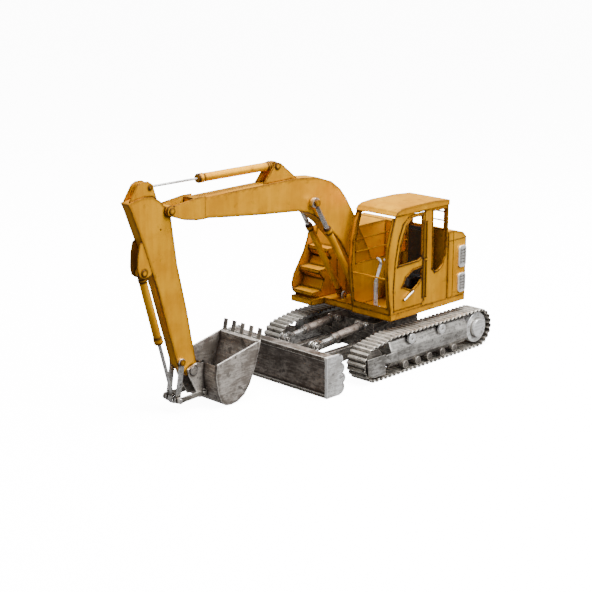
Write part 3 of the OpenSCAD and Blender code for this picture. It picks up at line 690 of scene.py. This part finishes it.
@dataclass
class Weld(Piece):
    """Lumpy weld beads laid in straight runs on a piece."""

    suffix: str = "welds"
    stands_for_node: bool = False
    runs: tuple[tuple[Vector, Vector], ...] = ()
    thickness: float = 0.7 * MM
    lumps: float = 0.35
    lump_size: float = 1.8 * MM
    round_segments: int = 10
    grain: float = 1.6 * MM

    def solid(self) -> bmesh.types.BMesh:
        """Lays every bead.

        Returns:
            The mesh of all beads.
        """
        bm = bmesh.new()
        for start, end in self.runs:
            line = end - start
            turn = line.to_track_quat("Z", "Y").to_matrix().to_4x4()
            made = bmesh.ops.create_cone(
                bm, cap_ends=True, segments=self.round_segments, radius1=self.thickness,
                radius2=self.thickness, depth=line.length,
                matrix=Matrix.Translation((start + end) / 2) @ turn,
            )
            sides = [e for v in made["verts"] for e in v.link_edges if e.calc_length() > line.length / 2]
            rings = max(2, int(line.length / self.grain))
            bmesh.ops.subdivide_edges(bm, edges=list(dict.fromkeys(sides)), cuts=rings)
        for v in bm.verts:
            v.co += noise.noise_vector(v.co / self.lump_size) * self.thickness * self.lumps
        return bm

    def soften(self, bm: bmesh.types.BMesh) -> bmesh.types.BMesh:
        """Leaves the beads as they are, since they have no sharp edges to round.

        Args:
            bm: The beads.

        Returns:
            The same mesh.
        """
        return bm


@dataclass
class Rivets(Piece):
    """Domed rivet heads on the left side of a piece."""

    suffix: str = "rivets"
    stands_for_node: bool = False
    spots: tuple[Span, ...] = ()
    radius: float = 1.2 * MM
    flatness: float = 0.5
    segments_around: int = 18
    segments_over: int = 10
    eye_distance: float = 1.0
    grain: float = 0.8 * MM

    def solid(self) -> bmesh.types.BMesh:
        """Sets a flattened dome on the surface at each spot.

        Returns:
            The mesh of all heads.
        """
        plain = super().solid()
        tree = bvhtree.BVHTree.FromBMesh(plain)
        plain.free()
        low, high = (Vector(c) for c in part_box(self.node))
        bm = bmesh.new()
        for along, up in self.spots:
            x = low.x + along * (high.x - low.x)
            z = low.z + up * (high.z - low.z)
            eye = Vector((x, high.y + self.eye_distance, z))
            spot = tree.ray_cast(eye, Vector((0.0, -1.0, 0.0)))[0]
            if spot is not None:
                shape = Matrix.Translation(spot) @ Matrix.Diagonal((1.0, self.flatness, 1.0, 1.0))
                bmesh.ops.create_uvsphere(
                    bm, u_segments=self.segments_around, v_segments=self.segments_over,
                    radius=self.radius, matrix=shape,
                )
        return bm

    def soften(self, bm: bmesh.types.BMesh) -> bmesh.types.BMesh:
        """Leaves the domes round.

        Args:
            bm: The rivet heads.

        Returns:
            The same mesh.
        """
        return bm


class Finishes:
    """All materials of the model."""

    def __init__(self) -> None:
        """Builds every material once."""
        self.paint = Paint().make()
        # On this steel, painted shade reaches 45 mm into hollows, which darkens the inside of the bucket.
        self.raw = Steel(
            "burnished_steel", Slot.RAW, face=(0.24, 0.205, 0.175), pale=(0.58, 0.53, 0.475),
            stain=(0.045, 0.034, 0.026), edge=(0.80, 0.76, 0.70),
            rough=0.42, metal=0.75, edge_low=0.66, cavity=45 * MM,
        ).make()
        self.plate = Steel(
            "blade_steel", Slot.RAW, face=(0.10, 0.078, 0.062), pale=(0.36, 0.31, 0.27),
            stain=(0.035, 0.026, 0.02), edge=(0.78, 0.74, 0.68),
            rough=0.42, metal=0.75, edge_low=0.58,
        ).make()
        self.tracks = Steel(
            "track_steel", Slot.RAW, face=(0.40, 0.365, 0.31), pale=(0.80, 0.75, 0.66),
            stain=(0.010, 0.008, 0.006), edge=(0.88, 0.84, 0.76),
            rough=0.42, metal=0.75, edge_low=0.66, cavity=4 * MM,
        ).make()
        self.dark = Steel(
            "dark_steel", Slot.DARK, face=(0.12, 0.105, 0.09), pale=(0.34, 0.31, 0.27),
            stain=(0.03, 0.022, 0.016), edge=(0.62, 0.58, 0.52),
            rough=0.40, metal=0.8, edge_low=0.7,
        ).make()
        self.tube = Steel(
            "tube_steel", Slot.DARK, face=(0.24, 0.225, 0.205), pale=(0.62, 0.60, 0.56),
            stain=(0.05, 0.04, 0.032), edge=(0.74, 0.71, 0.66),
            rough=0.34, metal=0.8, edge_low=0.7,
        ).make()
        self.silver = Steel(
            "polished_steel", Slot.BRIGHT, face=(0.60, 0.59, 0.57), pale=(0.93, 0.93, 0.92),
            stain=(0.24, 0.22, 0.19), edge=(0.97, 0.96, 0.95),
            rough=0.36, metal=0.6, edge_low=0.6, scratch=0.2, cavity=2 * MM,
        ).make()
        self.weld = Steel(
            "weld_steel", Slot.RAW, face=(0.52, 0.50, 0.47), pale=(0.95, 0.94, 0.92),
            stain=(0.14, 0.12, 0.10), edge=(0.95, 0.94, 0.92),
            rough=0.38, metal=0.7, edge_low=0.5, scratch=0.8, cavity=3 * MM,
        ).make()
        self.bright = Steel(
            "bright_steel", Slot.BRIGHT, face=(0.50, 0.48, 0.45), pale=(0.84, 0.83, 0.80),
            stain=(0.12, 0.10, 0.08), edge=(0.90, 0.88, 0.84),
            rough=0.26, metal=0.95, edge_low=0.7, scratch=0.2,
        ).make()
        self.seat = Steel(
            "seat_black", Slot.SEAT, face=(0.010, 0.010, 0.010), pale=(0.022, 0.021, 0.020),
            stain=(0.006, 0.005, 0.005), edge=(0.07, 0.06, 0.05),
            rough=0.5, metal=0.0, edge_low=0.8, scratch=0.1,
        ).make()

    def of(self, slot: Slot) -> bpy.types.Material:
        """Gives a slot's usual material.

        Args:
            slot: The record's slot.

        Returns:
            The material.
        """
        return {
            Slot.PAINTED: self.paint, Slot.RAW: self.raw, Slot.DARK: self.dark, Slot.BRIGHT: self.bright,
            Slot.SEAT: self.seat,
        }[slot]


@dataclass
class Assembly:
    """A group of pieces that share a place on the machine."""

    finishes: Finishes
    prefixes: tuple[str, ...] = ()
    round_by: float = 0.35 * MM
    grain: float = 2.6 * MM
    reach: float = 2.2 * MM

    def material(self, node: str) -> bpy.types.Material:
        """Picks a piece's material from its slot in the record.

        Args:
            node: The CAD piece.

        Returns:
            The material.
        """
        slots = {s["node"]: s["material_slot"] for s in frame["record"]["subparts"]}
        return self.finishes.of(Slot(slots[node]))

    def trim(self) -> list[Piece]:
        """Lists the small extra pieces that dress the group.

        Returns:
            The pieces, not yet built.
        """
        return []

    def build(self) -> None:
        """Builds every piece of the group."""
        for node in sorted(frame["nodes"]):
            if node.startswith(self.prefixes):
                Piece(node, self.material(node), self.round_by, self.grain, self.reach).build()
        for piece in self.trim():
            piece.build()


@dataclass
class Undercarriage(Assembly):
    """Tracks, track frames, rollers, centre box and slewing ring."""

    prefixes: tuple[str, ...] = (
        "chassis", "swing", "track", "idler", "sprocket", "return", "turntable",
    )
    reach: float = 1.3 * MM

    def material(self, node: str) -> bpy.types.Material:
        """Gives the bands, the frame tubes and the drive wheels a steel of their own.

        Args:
            node: The CAD piece.

        Returns:
            The material.
        """
        own = {
            "track_band": self.finishes.tracks, "track_frame": self.finishes.tube,
            "idler_guards": self.finishes.tube, "sprocket": self.finishes.silver,
            "return_roller": self.finishes.silver,
        }
        return next((m for start, m in own.items() if node.startswith(start)), None) or super().material(node)


@dataclass
class Blade(Assembly):
    """Dozer blade with its arms and cylinders."""

    prefixes: tuple[str, ...] = ("blade",)
    bead_inset: float = 1.0 * MM
    bead_thickness: float = 1.1 * MM

    def material(self, node: str) -> bpy.types.Material:
        """Gives the cheeks a bright, blotchy steel and the plate a dark one.

        Args:
            node: The CAD piece.

        Returns:
            The material.
        """
        own = {
            "blade_cheeks": self.finishes.weld, "blade_plate": self.finishes.plate,
            "blade_barrel_left": self.finishes.plate, "blade_barrel_right": self.finishes.plate,
        }
        return own.get(node) or super().material(node)

    def trim(self) -> list[Piece]:
        """Lays a bead where each cheek meets the plate's lip.

        Returns:
            The welds.
        """
        low, high = (Vector(c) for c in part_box("blade_plate"))
        inset = self.bead_inset
        runs = tuple(
            (Vector((high.x - inset, y, low.z + inset)), Vector((high.x - inset, y, high.z - inset)))
            for y in (low.y, high.y)
        )
        return [Weld("blade_plate", self.finishes.weld, runs=runs, thickness=self.bead_thickness)]


@dataclass
class House(Assembly):
    """Deck, engine cover, tank, steps and lamps."""

    prefixes: tuple[str, ...] = ("deck", "engine", "side", "step", "boom_foot")
    seam_height: float = 0.86
    seam_back: float = 0.72
    seam_inset: float = 1.5 * MM
    seam_thickness: float = 0.45 * MM
    seam_lumps: float = 0.2

    def material(self, node: str) -> bpy.types.Material:
        """Gives the lamps a polished finish.

        Args:
            node: The CAD piece.

        Returns:
            The material.
        """
        return self.finishes.silver if node == "side_lamps" else super().material(node)

    def trim(self) -> list[Piece]:
        """Runs thin seams over the engine cover's left side and back.

        Returns:
            The seams.
        """
        low, high = (Vector(c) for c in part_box("engine_cover"))
        z = low.z + self.seam_height * (high.z - low.z)
        x = low.x + self.seam_back * (high.x - low.x)
        edge = self.seam_inset
        runs = (
            (Vector((low.x + edge, high.y, z)), Vector((high.x - edge, high.y, z))),
            (Vector((x, high.y, low.z + edge)), Vector((x, high.y, high.z - edge))),
            (Vector((low.x, low.y + edge, z)), Vector((low.x, high.y - edge, z))),
        )
        return [
            Weld(
                "engine_cover", self.finishes.paint, runs=runs, thickness=self.seam_thickness,
                lumps=self.seam_lumps,
            )
        ]


@dataclass
class Cab(Assembly):
    """Cab shell, roof, door, window bars, seat and levers."""

    prefixes: tuple[str, ...] = ("cab", "window", "seat", "control", "door")
    grain: float = 2.2 * MM

    def material(self, node: str) -> bpy.types.Material:
        """Gives the levers a polished finish.

        Args:
            node: The CAD piece.

        Returns:
            The material.
        """
        return self.finishes.silver if node == "control_levers" else super().material(node)

    def trim(self) -> list[Piece]:
        """Lists the rims of the door's windows and of the window behind the door.

        Returns:
            The rims.
        """
        return [
            WindowRims("cab_door", self.finishes.paint, grain=self.grain),
            WindowRims("cab_shell", self.finishes.paint, grain=self.grain, skip_holes=1),
        ]


@dataclass
class Boom(Assembly):
    """Boom with its cylinders and brackets."""

    prefixes: tuple[str, ...] = (
        "boom_shell", "boom_nose", "boom_pins", "boom_barrel", "boom_rod", "arm_cylinder",
    )

    def material(self, node: str) -> bpy.types.Material:
        """Paints the pins over with the boom.

        Args:
            node: The CAD piece.

        Returns:
            The material.
        """
        return self.finishes.paint if node == "boom_pins" else super().material(node)


@dataclass
class Arm(Assembly):
    """Arm with its cylinders and brackets."""

    prefixes: tuple[str, ...] = ("arm_shell", "arm_brackets", "arm_barrel", "arm_rod")
    rivet_spot: Span = (0.52, 0.82)

    def trim(self) -> list[Piece]:
        """Sets one rivet high on the arm's left side.

        Returns:
            The rivet.
        """
        return [Rivets("arm_shell", self.finishes.paint, spots=(self.rivet_spot,))]


@dataclass
class Bucket(Assembly):
    """Bucket, teeth and linkage."""

    prefixes: tuple[str, ...] = ("bucket", "rocker")


# ---------------------------------------------------------------- studio


@dataclass(frozen=True)
class Lamp:
    """One soft square light."""

    name: str
    place: Place
    power: float
    size: float = 1.0


@dataclass
class Studio:
    """Floor, lights and camera."""

    azimuth: float = 134.546
    elevation: float = 15.408
    distance: float = 1.4792
    aim: Place = (0.00979, -0.00404, 0.08819)
    lens: float = 84.1
    sensor: float = 36.0
    near: float = 0.01
    floor_size: float = 12.0
    floor_grey: float = 0.93
    floor_rough: float = 0.75
    floor_glow: float = 12.0
    sky_glow: float = 0.32
    lamps: tuple[Lamp, ...] = (
        Lamp("key", (-0.45, 1.5, 1.2), 66.0),
        Lamp("top", (-0.15, 0.2, 1.7), 115.0),
        Lamp("fill", (1.5, 0.2, 0.9), 5.0),
    )

    def floor(self) -> None:
        """Lays a large pale floor that glows, so that it reads as white, but lights nothing."""
        bm = bmesh.new()
        bmesh.ops.create_grid(bm, x_segments=2, y_segments=2, size=self.floor_size)
        mesh = bpy.data.meshes.new("floor")
        bm.to_mesh(mesh)
        bm.free()
        material = bpy.data.materials.new("floor")
        material.use_nodes = True
        shader = material.node_tree.nodes["Principled BSDF"]
        shader.inputs["Base Color"].default_value = (*[self.floor_grey] * 3, 1.0)
        shader.inputs["Roughness"].default_value = self.floor_rough
        shader.inputs["Emission Color"].default_value = (1.0, 1.0, 1.0, 1.0)
        shader.inputs["Emission Strength"].default_value = self.floor_glow
        mesh.materials.append(material)
        obj = bpy.data.objects.new("floor", mesh)
        obj.visible_diffuse = False
        obj.visible_glossy = False
        bpy.context.scene.collection.objects.link(obj)

    def sky(self) -> None:
        """Surrounds everything with soft white."""
        world = bpy.data.worlds.new("studio")
        world.use_nodes = True
        back = world.node_tree.nodes["Background"]
        back.inputs["Color"].default_value = (1.0, 1.0, 1.0, 1.0)
        back.inputs["Strength"].default_value = self.sky_glow
        bpy.context.scene.world = world

    def hang(self, lamp: Lamp) -> None:
        """Hangs one light that faces the model.

        Args:
            lamp: The light.
        """
        light = bpy.data.lights.new(lamp.name, "AREA")
        light.size = lamp.size
        light.energy = lamp.power
        obj = bpy.data.objects.new(lamp.name, light)
        obj.location = lamp.place
        toward = Vector(self.aim) - Vector(lamp.place)
        obj.rotation_euler = toward.to_track_quat("-Z", "Y").to_euler()
        bpy.context.scene.collection.objects.link(obj)

    def camera(self) -> None:
        """Puts the camera at the front left corner, a little above the cab."""
        a, e = math.radians(self.azimuth), math.radians(self.elevation)
        back = Vector((math.sin(a) * math.cos(e), -math.cos(a) * math.cos(e), math.sin(e)))
        data = bpy.data.cameras.new("camera")
        data.lens = self.lens
        data.sensor_width = self.sensor
        data.clip_start = self.near
        obj = bpy.data.objects.new("camera", data)
        obj.location = Vector(self.aim) + back * self.distance
        obj.rotation_euler = (-back).to_track_quat("-Z", "Y").to_euler()
        bpy.context.scene.collection.objects.link(obj)
        bpy.context.scene.camera = obj

    def build(self) -> None:
        """Sets the studio up."""
        self.floor()
        self.sky()
        for lamp in self.lamps:
            self.hang(lamp)
        self.camera()


def main() -> None:
    """Builds every group, then the studio."""
    logging.basicConfig(level=logging.INFO, format="%(message)s")
    finishes = Finishes()
    for group in (Undercarriage, Blade, House, Cab, Boom, Arm, Bucket):
        group(finishes).build()
    Studio().build()


if __name__ == "__main__":
    main()
